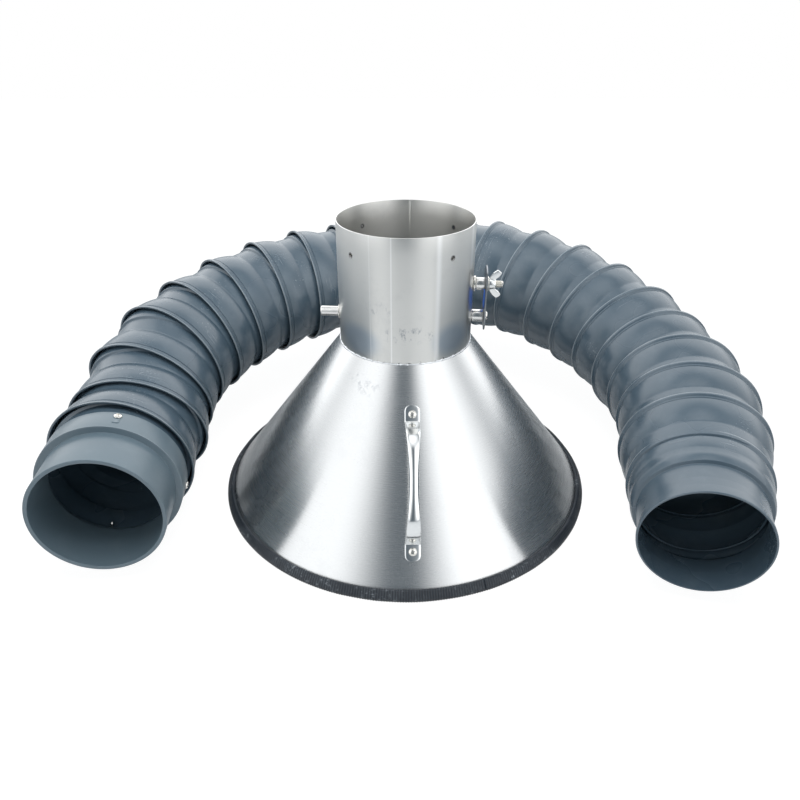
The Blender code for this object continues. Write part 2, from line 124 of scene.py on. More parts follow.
def add(tree, kind, inputs=None, **settings):
    node = tree.nodes.new("ShaderNode" + kind)
    for name, value in settings.items():
        setattr(node, name, value)
    for name, value in (inputs or {}).items():
        socket(tree, node, name, value)
    return node


def math_node(tree, operation, *values):
    node = add(tree, "Math", operation=operation)
    for i, value in enumerate(values):
        socket(tree, node, i, value)
    return node.outputs[0]


def product(tree, first, *others):
    for other in others:
        first = math_node(tree, "MULTIPLY", first, other)
    return first


def step(tree, value, low, high, start=0.0, end=1.0):
    """A smooth change from start to end as value goes from low to high."""
    names = ("Value", "From Min", "From Max", "To Min", "To Max")
    inputs = dict(zip(names, (value, low, high, start, end)))
    return add(tree, "MapRange", inputs, interpolation_type="SMOOTHSTEP").outputs[0]


def band(tree, value, low, high, soft):
    rise = step(tree, value, low - soft, low + soft)
    fall = step(tree, value, high - soft, high + soft, 1.0, 0.0)
    return product(tree, rise, fall)


def grain(tree, coordinate, scale, stretch=(1, 1, 1), detail=4.0, roughness=0.5):
    """Noise over a coordinate that is stretched by a factor each way."""
    place = add(tree, "Mapping", {"Vector": coordinate, "Scale": stretch}).outputs[0]
    inputs = {"Vector": place, "Scale": scale, "Detail": detail, "Roughness": roughness}
    return add(tree, "TexNoise", inputs).outputs["Fac"]


def blend_colour(tree, factor, first, second):
    node = add(tree, "Mix", {"Factor": factor}, data_type="RGBA")
    socket(tree, node, 6, first)
    socket(tree, node, 7, second)
    return node.outputs[2]


def bumped(tree, height, strength, distance, normal=None):
    inputs = {"Height": height, "Strength": strength, "Distance": distance}
    if normal:
        inputs["Normal"] = normal
    return add(tree, "Bump", inputs).outputs[0]


def new_material(name, metallic=0.0, roughness=0.4, **settings):
    made = bpy.data.materials.new(name)
    made.use_nodes = True
    tree = made.node_tree
    shader = tree.nodes["Principled BSDF"]
    shader.inputs["Metallic"].default_value = metallic
    shader.inputs["Roughness"].default_value = roughness
    for key, value in settings.items():
        label = "IOR" if key == "ior" else key.replace("_", " ").title()
        shader.inputs[label].default_value = value
    return made, tree, shader


def colour(r, g, b):
    return (r, g, b, 1.0)


def shaded(base, share):
    return colour(*[v * share for v in base])


def hose_plastic(name, base, pale, gloss, scuffs_and_lip_highlight):
    """Satin PVC with soft changes of tone, scuffs rubbed near the lips, a painted highlight along each lip's edge,
    streaks round its body, nicks and scratches.
    """
    made, tree, shader = new_material(name, ior=1.66)
    here = add(tree, "TexCoord").outputs["Object"]
    along = add(tree, "UVMap").outputs[0]
    from_lip = add(tree, "SeparateXYZ", {"Vector": along}).outputs[1]

    rubbed = step(tree, grain(tree, here, 13.0, detail=2.0), 0.57, 0.70)
    streaks = step(tree, grain(tree, along, 60.0, (0.35, 12.0, 1.0), 5.0, 0.62), 0.57, 0.70)
    shoulder = band(tree, from_lip, -0.034, -0.004, 0.006)
    worn = product(tree, streaks, shoulder, rubbed, 0.55)
    nicks = step(tree, grain(tree, here, 300.0, detail=6.0, roughness=0.7), 0.56, 0.68)
    # Painted highlight: a thin band along each lip's edge is lightened towards the pale colour, broken up by the
    # nicks.
    lip = band(tree, from_lip, -0.0013, 0.0011, 0.0006)
    edge = product(tree, lip, step(tree, nicks, 0.0, 1.0, 0.6, 1.0), 0.75)
    scratched = step(tree, grain(tree, here, 34.0, (1.0, 4.0, 0.6), 6.0, 0.75), 0.68, 0.73)
    flecks = math_node(tree, "MAXIMUM", product(tree, nicks, rubbed), product(tree, scratched, 0.5))
    # marks mixes real scuffs, flecks and scratches with the painted lip highlight.
    marks = math_node(tree, "MAXIMUM", worn, edge)
    marks = product(tree, math_node(tree, "MAXIMUM", marks, product(tree, flecks, 0.35)), scuffs_and_lip_highlight)

    dust = step(tree, grain(tree, here, 28.0, detail=5.0, roughness=0.65), 0.45, 0.75)
    tone = blend_colour(tree, grain(tree, here, 7.0, detail=3.0), shaded(base, 0.88), shaded(base, 1.12))
    tone = blend_colour(tree, product(tree, dust, 0.07), tone, colour(*pale))
    socket(tree, shader, "Base Color", blend_colour(tree, marks, tone, colour(*pale)))
    rough = step(tree, grain(tree, here, 10.0, detail=2.0), 0.3, 0.7, gloss - 0.02, gloss + 0.03)
    socket(tree, shader, "Roughness", math_node(tree, "ADD", rough, product(tree, marks, 0.15)))
    socket(tree, shader, "Normal", bumped(tree, grain(tree, here, 22.0, detail=1.0), 0.07, 0.0012))
    return made


def patched(tree, here, tone, patches):
    """Lays patches on a tone. Each has a centre on the hood, a reach, a tone, a strength and whether it is torn."""
    for i, (centre, reach, patch_tone, strength, torn_edge) in enumerate(patches):
        offset = add(tree, "VectorMath", {0: here, 1: tuple(hood(*centre))}, operation="SUBTRACT").outputs[0]
        inverse = tuple(1.0 / v for v in reach)
        scaled = add(tree, "VectorMath", {0: offset, 1: inverse}, operation="MULTIPLY").outputs[0]
        away = add(tree, "VectorMath", {0: scaled}, operation="LENGTH").outputs["Value"]
        inside = step(tree, away, 0.35, 1.0, strength, 0.0)
        if torn_edge:
            torn = grain(tree, here, 170.0 + 17.0 * i, (1.0, 1.0, 0.55), 6.0, 0.75)
            inside = product(tree, inside, step(tree, torn, 0.50, 0.66))
        tone = blend_colour(tree, inside, tone, colour(*patch_tone))
    return tone


def add_highlight_streaks(tree, along, tone, highlight_lines):
    """Lays painted highlights: near-white streaks down the sheet that stand in for bright reflections. Each has its
    place round the front and its half width, in degrees, and a strength."""
    round_collar = add(tree, "SeparateXYZ", {"Vector": along}).outputs[0]
    for place, half, strength in highlight_lines:
        middle = COLLAR_R * math.radians(270 + place)
        wide = COLLAR_R * math.radians(half)
        highlight_band = band(tree, round_collar, middle - wide / 2, middle + wide / 2, wide / 2)
        # Painted highlight: each streak blends the colour towards near-white.
        tone = blend_colour(tree, product(tree, highlight_band, strength), tone, colour(1.0, 1.0, 0.99))
    return tone


def sheet_steel(name, base, roughness, anisotropy, marks, patches=(), highlight_lines=()):
    """Sheet steel brushed round its axis, with stains, short scratches, patches, some of them painted shade, and
    painted highlight lines.
    """
    made, tree, shader = new_material(name, 1.0, roughness, anisotropic=anisotropy, anisotropic_rotation=0.25)
    along = add(tree, "UVMap").outputs[0]
    here = add(tree, "TexCoord").outputs["Object"]
    lines = grain(tree, along, 30.0, (0.16, 60.0, 1.0), 4.0, 0.75)
    broad = grain(tree, along, 10.0, (0.10, 6.0, 1.0), 2.0)
    stains = step(tree, grain(tree, here, 22.0, detail=5.0, roughness=0.65), 0.52, 0.72)
    scratches = step(tree, grain(tree, here, 70.0, (1.0, 1.0, 0.25), 6.0, 0.75), 0.66, 0.71)

    tone = blend_colour(tree, lines, shaded(base, 0.97), shaded(base, 1.03))
    tone = blend_colour(tree, product(tree, stains, 0.16 * marks), tone, colour(0.34, 0.36, 0.38))
    hurt = product(tree, scratches, stains, 0.45 * marks)
    tone = blend_colour(tree, hurt, tone, colour(0.10, 0.10, 0.11))
    tone = patched(tree, here, tone, patches)
    socket(tree, shader, "Base Color", add_highlight_streaks(tree, along, tone, highlight_lines))

    rough = step(tree, lines, 0.3, 0.7, roughness - 0.01, roughness + 0.01)
    socket(tree, shader, "Roughness", math_node(tree, "ADD", rough, product(tree, stains, 0.08 * marks)))
    fine = bumped(tree, lines, 0.005, 0.0001)
    socket(tree, shader, "Normal", bumped(tree, broad, 0.06, 0.0003, fine))
    socket(tree, shader, "Tangent", add(tree, "Tangent", direction_type="UV_MAP").outputs[0])
    return made


def plated(name, base, roughness, wear):
    """Bright or zinc plating, slightly uneven."""
    made, tree, shader = new_material(name, 1.0, roughness)
    here = add(tree, "TexCoord").outputs["Object"]
    cloud = grain(tree, here, 160.0, detail=4.0)
    tone = blend_colour(tree, step(tree, cloud, 0.45, 0.75), colour(*base), shaded(base, 1 - wear))
    socket(tree, shader, "Base Color", tone)
    socket(tree, shader, "Roughness", step(tree, cloud, 0.35, 0.75, roughness, roughness + 0.4 * wear))
    socket(tree, shader, "Normal", bumped(tree, grain(tree, here, 260.0, detail=2.0), 0.03, 0.0002))
    return made


def rubber(name):
    """Dusty black rubber, with painted highlights on the tops of its ribs and painted shade in the grooves between
    them. TRIM_REACH turns its U into an angle.
    """
    made, tree, shader = new_material(name, 0.0, 0.5)
    here = add(tree, "TexCoord").outputs["Object"]
    round_rim = add(tree, "SeparateXYZ", {"Vector": add(tree, "UVMap").outputs[0]}).outputs[0]
    wave = math_node(tree, "COSINE", product(tree, round_rim, TRIM_RIBS / TRIM_REACH))
    # Painted highlight and shade: the colour follows the ribs, lighter on their tops and darker in the grooves.
    rib = step(tree, wave, -0.6, 0.9)
    dust = step(tree, grain(tree, here, 30.0, detail=6.0, roughness=0.7), 0.42, 0.75)
    dark = blend_colour(tree, dust, colour(0.006, 0.009, 0.014), colour(0.018, 0.023, 0.030))
    light = blend_colour(tree, dust, colour(0.018, 0.024, 0.032), colour(0.070, 0.080, 0.092))
    flecks = step(tree, grain(tree, here, 260.0, detail=4.0, roughness=0.7), 0.56, 0.64)
    tone = blend_colour(tree, rib, dark, light)
    tone = blend_colour(tree, product(tree, flecks, dust, 0.8), tone, colour(0.36, 0.39, 0.42))
    socket(tree, shader, "Base Color", tone)
    socket(tree, shader, "Roughness", step(tree, dust, 0.0, 1.0, 0.42, 0.62))
    socket(tree, shader, "Normal", bumped(tree, grain(tree, here, 700.0, detail=3.0), 0.15, 0.0003))
    return made


def film(name):
    """Thin blue protective film, crinkled."""
    made, tree, shader = new_material(name, 0.0, 0.40)
    here = add(tree, "TexCoord").outputs["Object"]
    crease = grain(tree, here, 120.0, detail=3.0)
    tone = blend_colour(tree, crease, colour(0.04, 0.20, 0.95), colour(0.12, 0.34, 1.0))
    socket(tree, shader, "Base Color", tone)
    socket(tree, shader, "Normal", bumped(tree, crease, 0.35, 0.0006))
    return made


def soften(mesh, angle):
    mesh.shade_smooth()
    mesh.set_sharp_from_angle(angle=math.radians(angle))


def solid(name, verts, faces, look=None, where=None, uvs=None, sharp=32):
    """A mesh object with its place in its mesh, its faces outward and its flat edges kept."""
    mesh = bpy.data.meshes.new(name)
    mesh.from_pydata(verts, [], faces)
    if uvs:
        layer = mesh.uv_layers.new(name="UVMap")
        layer.data.foreach_set("uv", [c for uv in uvs for c in uv])
    mesh.transform(where or Matrix())
    work = bmesh.new()
    work.from_mesh(mesh)
    bmesh.ops.recalc_face_normals(work, faces=work.faces)
    work.to_mesh(mesh)
    work.free()
    soften(mesh, sharp)
    if look:
        mesh.materials.append(look)
    made = bpy.data.objects.new(name, mesh)
    bpy.context.scene.collection.objects.link(made)
    return made


def applied(obj, sharp=32):
    """Bakes an object's modifiers into its mesh."""
    bpy.context.view_layer.update()
    graph = bpy.context.evaluated_depsgraph_get()
    mesh = bpy.data.meshes.new_from_object(obj.evaluated_get(graph))
    obj.modifiers.clear()
    obj.data = mesh
    soften(mesh, sharp)
    return obj


def carved(obj, cutters, operation="DIFFERENCE", sharp=32):
    for cutter in cutters:
        change = obj.modifiers.new("cut", "BOOLEAN")
        change.operation = operation
        change.solver = "EXACT"
        change.object = cutter
    applied(obj, sharp)
    for cutter in cutters:
        bpy.data.objects.remove(cutter, do_unlink=True)
    return obj


def bevelled(obj, width, segments=2, sharp=32):
    change = obj.modifiers.new("edge", "BEVEL")
    change.width = width
    change.segments = segments
    change.limit_method = "ANGLE"
    change.angle_limit = math.radians(35)
    return applied(obj, sharp)


def settle(obj, body, slot, *nodes):
    """Makes a piece ride on its body and stand for its solids."""
    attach(obj, body)
    if nodes:
        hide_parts(*nodes)


def turned(name, profile, steps, look=None, where=None, closed=True, warp=None, sharp=32, datum=0):
    """Turns (radius, height) points about local Z, with U round the axis and V along the profile from the point
    numbered datum, in metres."""
    verts, faces, uvs = [], [], []
    reach = max(p[0] for p in profile)
    for i in range(steps):
        a = 2 * math.pi * i / steps
        for k, (r, h) in enumerate(profile):
            if warp:
                r, h = warp(a, r, h, k)
            verts.append((r * math.cos(a), r * math.sin(a), h))
    n = len(profile)
    lengths = [0.0]
    for k in range(n):
        a, b = profile[k], profile[(k + 1) % n]
        lengths.append(lengths[-1] + math.hypot(a[0] - b[0], a[1] - b[1]))
    lengths = [v - lengths[datum] for v in lengths]
    for i in range(steps):
        j = (i + 1) % steps
        for k in range(n if closed else n - 1):
            m = (k + 1) % n
            faces.append((i * n + k, j * n + k, j * n + m, i * n + m))
            u0 = 2 * math.pi * reach * i / steps
            u1 = 2 * math.pi * reach * (i + 1) / steps
            uvs += [(u0, lengths[k]), (u1, lengths[k]), (u1, lengths[k + 1]), (u0, lengths[k + 1])]
    if not closed:
        for k in (0, n - 1):
            faces.append(tuple(i * n + k for i in range(steps)))
            uvs += [(verts[i * n + k][0], verts[i * n + k][1]) for i in range(steps)]
    return solid(name, verts, faces, look, where, uvs, sharp)


def prism(name, outline, low, high, look=None, where=None, sharp=32):
    n = len(outline)
    verts = [(x, y, low) for x, y in outline] + [(x, y, high) for x, y in outline]
    faces = [tuple(range(n)), tuple(range(n, 2 * n))]
    faces += [(i, (i + 1) % n, n + (i + 1) % n, n + i) for i in range(n)]
    uvs = [(verts[i][0], verts[i][1]) for face in faces for i in face]
    return solid(name, verts, faces, look, where, uvs, sharp)


def lofted(name, sections, look, where=None, sharp=40):
    n = len(sections[0])
    verts = [p for section in sections for p in section]
    faces = []
    for s in range(len(sections) - 1):
        faces += [(s * n + i, s * n + (i + 1) % n, (s + 1) * n + (i + 1) % n, (s + 1) * n + i) for i in range(n)]
    faces += [tuple(range(n)), tuple(range((len(sections) - 1) * n, len(sections) * n))]
    uvs = [(verts[i][0], verts[i][1]) for face in faces for i in face]
    return solid(name, verts, faces, look, where, uvs, sharp)


def rounded(points, segments=4, closed=True):
    """Points as (x, y) or (x, y, radius), with each corner that has a radius rounded."""
    out = []
    for i, point in enumerate(points):
        spot = Vector(point[:2])
        inner = closed or 0 < i < len(points) - 1
        if len(point) < 3 or not inner:
            out.append(tuple(spot))
            continue
        before = Vector(points[i - 1][:2]) - spot
        after = Vector(points[(i + 1) % len(points)][:2]) - spot
        half = before.angle(after) / 2
        reach = min(point[2] / math.tan(half), 0.48 * before.length, 0.48 * after.length)
        first = spot + before.normalized() * reach
        last = spot + after.normalized() * reach
        radius = reach * math.tan(half)
        centre = spot + (before.normalized() + after.normalized()).normalized() * (radius / math.sin(half))
        start = first - centre
        angle = math.atan2(start.x * (last - centre).y - start.y * (last - centre).x, start.dot(last - centre))
        for k in range(segments + 1):
            a = angle * k / segments
            out.append((centre.x + start.x * math.cos(a) - start.y * math.sin(a),
                        centre.y + start.x * math.sin(a) + start.y * math.cos(a)))
    return out


def mm(points):
    return [tuple(v * MM for v in point) for point in points]


def frame_along(origin, direction, side):
    """A frame whose Z runs along direction and whose X leans towards side."""
    z = Vector(direction).normalized()
    x = Vector(side)
    x = (x - z * x.dot(z)).normalized()
    turn = Matrix((x, z.cross(x), z)).transposed().to_4x4()
    return Matrix.Translation(origin) @ turn


def hood(x=0.0, y=0.0, z=0.0):
    """A point measured from the floor under the collar's middle."""
    return HOOD + Vector((x, y, z))


def round_hood(degrees):
    """The direction away from the hood's axis at an angle from X."""
    a = math.radians(degrees)
    return Vector((math.cos(a), math.sin(a), 0))


def across(x=0.0, y=0.0, z=0.0, out=(1, 0, 0), side=(0, 1, 0)):
    """A frame given as though the damper's shaft lay along X, then turned about the hood's axis with the shaft."""
    turn = Matrix.Rotation(math.radians(SHAFT_TURN), 4, "Z")
    return Matrix.Translation(HOOD) @ turn @ frame_along((x, y, z), out, side)


def bolt_hole(radius, where, reach, steps=32):
    return turned("cutter", [(radius, -reach), (radius, reach)], steps, None, where, closed=False)


def arc(radius, start, end, count, centre=(0.0, 0.0)):
    angles = [math.radians(start + (end - start) * i / count) for i in range(count + 1)]
    return [(centre[0] + radius * math.cos(a), centre[1] + radius * math.sin(a)) for a in angles]


def hood_axis():
    """The point on the floor under the collar's middle."""
    low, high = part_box("collar")
    return Vector(((low.x + high.x) / 2, (low.y + high.y) / 2, high.z - COLLAR_TOP))


def arm_frames():
    """Each ring's frame: its origin on its neck's pivot and Z along it, found from the record's pivots."""
    pivots = {int(j["name"][5:]): Vector(j["pos_m"]) for j in frame["joints"] if j["name"].startswith("bend_")}
    mounts = {m["name"]: m for m in frame["record"]["mounts"]}
    count = max(pivots)
    pitch = (pivots[2] - pivots[1]).length
    first = -Vector(mounts["neck_end"]["axis"])
    pivots[0] = pivots[1] - first * CUFF_PITCH * MM
    directions = [first] + [(pivots[k + 1] - pivots[k]).normalized() for k in range(1, count)]
    directions.append(Vector(mounts["spigot_end"]["axis"]))
    frames = [frame_along(pivots[0], first, (0, 0, 1))]
    for k in range(1, count + 1):
        turn = directions[k - 1].rotation_difference(directions[k]).to_matrix().to_4x4()
        frames.append(Matrix.Translation(pivots[k]) @ turn @ frames[-1].to_3x3().to_4x4())
    return frames, pitch / MM


def ball(radius, at, centre=0.0):
    return math.sqrt(radius ** 2 - (at - centre) ** 2), at


def span(low, high, count):
    return [low + (high - low) * i / count for i in range(count + 1)]


def neck_points(radius=NECK_R):
    """The outer and inner points of a ring's ball neck, in millimetres."""
    tip = -29.0
    outer = [(*ball(radius, tip), 0.9)] + [ball(radius, at) for at in span(-26, 6.2, 7)]
    outer.append((*ball(radius, 7.5), 0.9))
    bore = radius - WALL
    inner = [ball(bore, at) for at in span(6, -26, 6)] + [(*ball(bore, tip), 0.5)]
    return outer, inner


def lip_points(pitch, start, radius=BALL_R):
    """The outer points of a barrel, past a fine groove to its rolled lip, and the inner points of its seat."""
    lip = pitch + 8.0
    groove_r = radius - 0.8
    body = [ball(radius, at, pitch) for at in span(start, pitch - 1.0, 9)]
    body += [(radius, lip - 8.6), (groove_r, lip - 7.9), (groove_r, lip - 7.1), (radius, lip - 6.4)]
    body += [(radius + 0.1, lip - 5.0, 1.5), (radius + 2.4, lip - 3.4, 0.9), (radius + 2.5, lip, 0.8)]
    seat_r = radius - WALL
    seat = [(radius, lip, 0.7), (seat_r, pitch, 5.0)]
    seat += [ball(seat_r, at, pitch) for at in span(pitch - 3.0, pitch - 16.6, 4)]
    return body, seat


def ring_profile(pitch, neck_r):
    """The section of one ring in millimetres, and the number of the point on its lip's edge."""
    outer, inner = neck_points(neck_r)
    body, seat = lip_points(pitch, 34.5)
    waist = [(WAIST_R, 9.2, 0.7), (WAIST_R, 31.3, 9.0)]
    bore = WAIST_R - 2.5
    shank = [(bore, 31.3, 6.0), (bore, 9.6, 1.0)]
    front = rounded(outer + waist + body, 4, closed=False)
    back = rounded([body[-1][:2]] + seat + shank + inner, 4, closed=False)
    return front + back[1:], len(front) - 1


def cuff_profile():
    """The section of the first ring: a plain tube for its neck, a rounded step and a slimmer barrel."""
    end = -42.0
    tube = [(67.2, end), (68.0, -41.3), (68.0, -37.0), (67.2, -28.0, 10.0), (66.9, -16.0, 20.0), (67.4, 0.0)]
    shoulder = [(67.8, 5.4, 0.8), (71.9, 6.6, 1.6), (74.6, 15.0, 20.0)]
    inside = [(72.8, 14.0, 10.0), (70.0, 7.4, 2.0), (65.9, 5.0, 2.0), (64.9, -16.0, 20.0), (65.9, end)]
    body, seat = lip_points(CUFF_PITCH, 26.0, CUFF_BALL_R)
    front = rounded(tube + shoulder + body, 4, closed=False)
    back = rounded([body[-1][:2]] + seat + inside, 4, closed=False)
    return front + back[1:], len(front) - 1


def make_rings(frames, pitch):
    """The first ring is the cuff, and the second has a neck that fits the cuff's slimmer barrel."""
    profiles = [cuff_profile(), ring_profile(pitch, CUFF_BALL_R - 3.4)]
    profiles += [ring_profile(pitch, NECK_R)] * (len(frames) - 3)
    for k, (profile, edge) in enumerate(profiles):
        body = f"ring_{k + 1:02d}"
        ring = turned(f"hose_{body}", mm(profile), RING_STEPS, HOSE, frames[k], sharp=40, datum=edge)
        settle(ring, body, "hose_plastic", body)


def spigot_section():
    """The section of the spigot and its band, whose step at BAND_TO faces the mouth."""
    seat_r = END_RING_R + 0.3
    band_part = [(seat_r, BAND_FROM, 0.4), (BAND_R, BAND_FROM, 0.7), (BAND_R, BAND_TO, 0.3)]
    outside = [(SPIGOT_R + 0.1, BAND_TO + 0.2, 0.4), (SPIGOT_R, BAND_TO + 3.7), (SPIGOT_R, SPIGOT_TO, 0.7)]
    inside = [(SPIGOT_BORE_R, SPIGOT_TO, 0.7), (SPIGOT_BORE_R, 54.5, 1.5), (70.6, 48.3, 0.5), (seat_r, 48.3, 0.5)]
    return mm(rounded(band_part + outside + inside, 4))


def make_connector(where):
    """The cut-down last ring, the spigot with its band and tab, and the band's screws."""
    outer, inner = neck_points()
    end_bore = END_RING_R - WALL
    end = [(END_RING_R, 9.2, 0.8), (END_RING_R, 48.0, 0.5), (end_bore, 48.0, 0.5), (end_bore, 9.6, 1.0)]
    ring = turned("hose_end_ring", mm(rounded(outer + end + inner, 4)), RING_STEPS, HOSE, where, sharp=40)
    spigot = turned("duct_connector", spigot_section(), 128, CONNECTOR, where, sharp=40, datum=12)
    axis = where.to_3x3() @ Vector((0, 0, 1))
    middle = where @ Vector((0, 0, BAND_SCREWS * MM))
    for i in range(4):
        low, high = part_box(f"band_screw_{i + 1}")
        out = (low + high) / 2 - middle
        out = (out - axis * out.dot(axis)).normalized()
        seat = frame_along(middle, out, axis)
        head = (BAND_R + 0.3) * MM
        screw = pan_screw(f"connector_screw_{i + 1}", seat, head, 4.6 * MM, 2.4 * MM, 2.0 * MM, 13 * MM, SCREW)
        settle(screw, "connector", "zinc", f"band_screw_{i + 1}")
        for holed in (spigot, ring):
            hole = bolt_hole(2.3 * MM, frame_along(middle + out * 0.08, out, axis), 12 * MM, 20)
            carved(holed, [hole], sharp=40)
        if i == 0:
            make_tab(seat)
    settle(ring, "connector", "hose_plastic", "ring_end")
    settle(spigot, "connector", "connector_plastic", "connector")


def make_tab(seat):
    """The low moulded tab beside the band's first screw."""
    near, far, half = 6.2, 13.6, 3.4
    corners = [(near, -half, 1.0), (far, -half, 1.0), (far, half, 1.0), (near, half, 1.0)]
    low, high = (BAND_R - 0.6) * MM, (BAND_R + 0.7) * MM
    tab = prism("connector_tab", rounded(mm(corners), 3), low, high, CONNECTOR, seat)
    settle(tab, "connector", "connector_plastic")


def pan_screw(name, where, seat, head_r, head_h, shank_r, length, look):
    """A pan head screw with a cross recess: its head sits at seat and its shank runs down Z."""
    low = seat - length
    profile = [(shank_r * 0.3, low), (shank_r, low + shank_r), (shank_r, seat), (head_r, seat)]
    profile.append((head_r, seat + 0.25 * head_h))
    for t in (0.35, 0.7, 1.0, 1.25):
        profile.append((head_r * math.cos(t), seat + head_h * (0.25 + 0.75 * math.sin(t))))
    screw = turned(name, profile, 32, look, where, closed=False, sharp=30)
    long, wide = 0.5 * head_r, 0.11 * head_r
    slot = [(-long, -wide), (long, -wide), (long, wide), (-long, wide)]
    cutters = []
    for turn in (20.0, 110.0):
        placed = where @ Matrix.Rotation(math.radians(turn), 4, "Z")
        cutters.append(prism("cutter", slot, seat + 0.35 * head_h, seat + 2 * head_h, None, placed))
    return carved(screw, cutters, sharp=30)


def hex_nut(name, where, low, high, corner_r, bore, look):
    outline = arc(corner_r, 0, 300, 5)
    nut = prism(name, outline, low, high, look, where)
    carved(nut, [bolt_hole(bore, where @ Matrix.Translation((0, 0, low)), 20 * MM, 24)])
    return bevelled(nut, 0.35 * MM)


def ring_tube(name, where, low, high, outer, inner, look, edge=0.4 * MM):
    corners = [(inner, low, 0.5 * edge), (outer, low, edge), (outer, high, edge), (inner, high, 0.5 * edge)]
    return turned(name, rounded(corners, 3), 48, look, where, sharp=40)


def hand_cut():
    """A warp for the collar's lower edge: a slow wave, and notches at random places."""
    notches = []
    a = 0.0
    while a < 2 * math.pi:
        notches.append((a, random.uniform(0.006, 0.020), random.uniform(0.9, 2.2) * MM))
        a += random.uniform(0.09, 0.24)

    def ragged(angle, r, h, k):
        if h > CONE_TOP + 7 * MM:
            return r, h
        drop = 0.5 * MM * noise.noise(Vector((4 * math.cos(angle), 4 * math.sin(angle), 1.7)))
        for middle, half, depth in notches:
            if abs((angle - middle + math.pi) % (2 * math.pi) - math.pi) < half:
                drop += depth
        return r, h + drop

    return ragged


def collar_profile():
    """The collar's section, with rows of points above and below its holes, so that they shade well."""
    inner = COLLAR_R - SHEET
    bottom = CONE_TOP - 1.3 * MM
    rows = [CONE_TOP + 6 * MM, CONE_TOP + 8 * MM]
    holes = ((SHAFT_Z, 8 * MM), (STUD_Z, 6 * MM), (PILOT_Z, 5 * MM))
    beside = [z + side * half for z, half in holes for side in (-1, 1)]
    top = rounded([(COLLAR_R, bottom), (COLLAR_R, COLLAR_TOP, 0.35 * MM), (inner, COLLAR_TOP, 0.35 * MM),
                   (inner, CONE_TOP + 0.4 * MM)], 3)
    outside = [(COLLAR_R, z) for z in rows + beside]
    inside = [(inner, z) for z in reversed(beside)]
    return top[:1] + outside + top[1:-1] + inside + top[-1:]


def make_collar():
    """The rolled collar, with its lower edge cut by hand, its holes, its seam and its weld."""
    place = Matrix.Translation(HOOD)
    collar = turned("collar_sheet", collar_profile(), COLLAR_STEPS, COLLAR_STEEL, place, warp=hand_cut(), sharp=50)
    cutters = []
    for angle in PILOT_ANGLES:
        out = round_hood(angle)
        in_front = angle < 0
        place = frame_along(hood() + out * COLLAR_R + Vector((0, 0, PILOT_Z)), out, (0, 0, 1))
        cutters.append(bolt_hole((2.5 if in_front else 0.9) * MM, place, 4 * MM, 20))
    cutters.append(bolt_hole(SHAFT_R + GAP, across(0, 0, SHAFT_Z), 2 * COLLAR_R, 48))
    cutters.append(bolt_hole(STUD_HOLE_R, across(COLLAR_R, 0, STUD_Z), 8 * MM, 32))
    carved(collar, cutters, sharp=50)
    settle(collar, "hood", "sheet_steel", "collar")
    make_seam()
    make_weld()


def make_seam():
    """The thin line of the collar's seam, on its inner face at the back."""
    face = COLLAR_R - SHEET - 0.35 * MM
    low, high, half = face - 0.35 * MM, face + 0.1 * MM, 0.7 * MM
    outline = [(low, -half), (low, half), (high, half), (high, -half)]
    place = Matrix.Translation(HOOD) @ Matrix.Rotation(math.radians(86), 4, "Z")
    seam = prism("collar_seam", outline, CONE_TOP + 14 * MM, COLLAR_TOP - 0.6 * MM, COLLAR_STEEL, place)
    bevelled(seam, 0.15 * MM)
    settle(seam, "hood", "sheet_steel")


def make_weld():
    """An uneven bead where the collar meets the cone."""
    middle_r, middle_z = COLLAR_R + 0.1 * MM, CONE_TOP - 2.2 * MM

    def lumpy(angle, r, h, k):
        here = Vector((math.cos(angle), math.sin(angle), 0))
        swell = 0.9 + 1.5 * max(0.0, noise.noise(here * 34.0)) + 0.6 * noise.noise(here * 90.0)
        sway = 0.4 * MM * noise.noise(here * 12.0)
        return middle_r + (r - middle_r) * swell, middle_z + (h - middle_z) * swell + sway

    profile = arc(0.9 * MM, 0, 315, 7, (middle_r, middle_z))
    weld = turned("weld_bead", profile, 480, WELD, Matrix.Translation(HOOD), warp=lumpy, sharp=60)
    settle(weld, "hood", "sheet_steel")


def slope():
    """The cone's direction down its side, and its outward normal, both as (radius, height)."""
    run = RIM_R - LAP_R
    fall = CONE_TOP - RIM_Z
    length = math.hypot(run, fall)
    return (run / length, -fall / length), (fall / length, run / length)


def make_cone():
    (er, ez), (nr, nz) = slope()
    rim_in = (RIM_R - nr * SHEET, RIM_Z - nz * SHEET)
    back = (rim_in[0] - LAP_R + SHEET) / er
    lap_z = CONE_TOP + 12 * MM
    outer = [(LAP_R + (RIM_R - LAP_R) * t, CONE_TOP + (RIM_Z - CONE_TOP) * t) for t in (0.0, 0.25, 0.5, 0.75, 1.0)]
    inner = [rim_in, (LAP_R - SHEET, rim_in[1] - back * ez), (LAP_R - SHEET, lap_z)]
    cone = turned("cone_sheet", [(LAP_R, lap_z)] + outer + inner, 360, CONE_STEEL, Matrix.Translation(HOOD), sharp=25)
    settle(cone, "hood", "sheet_steel", "cone")


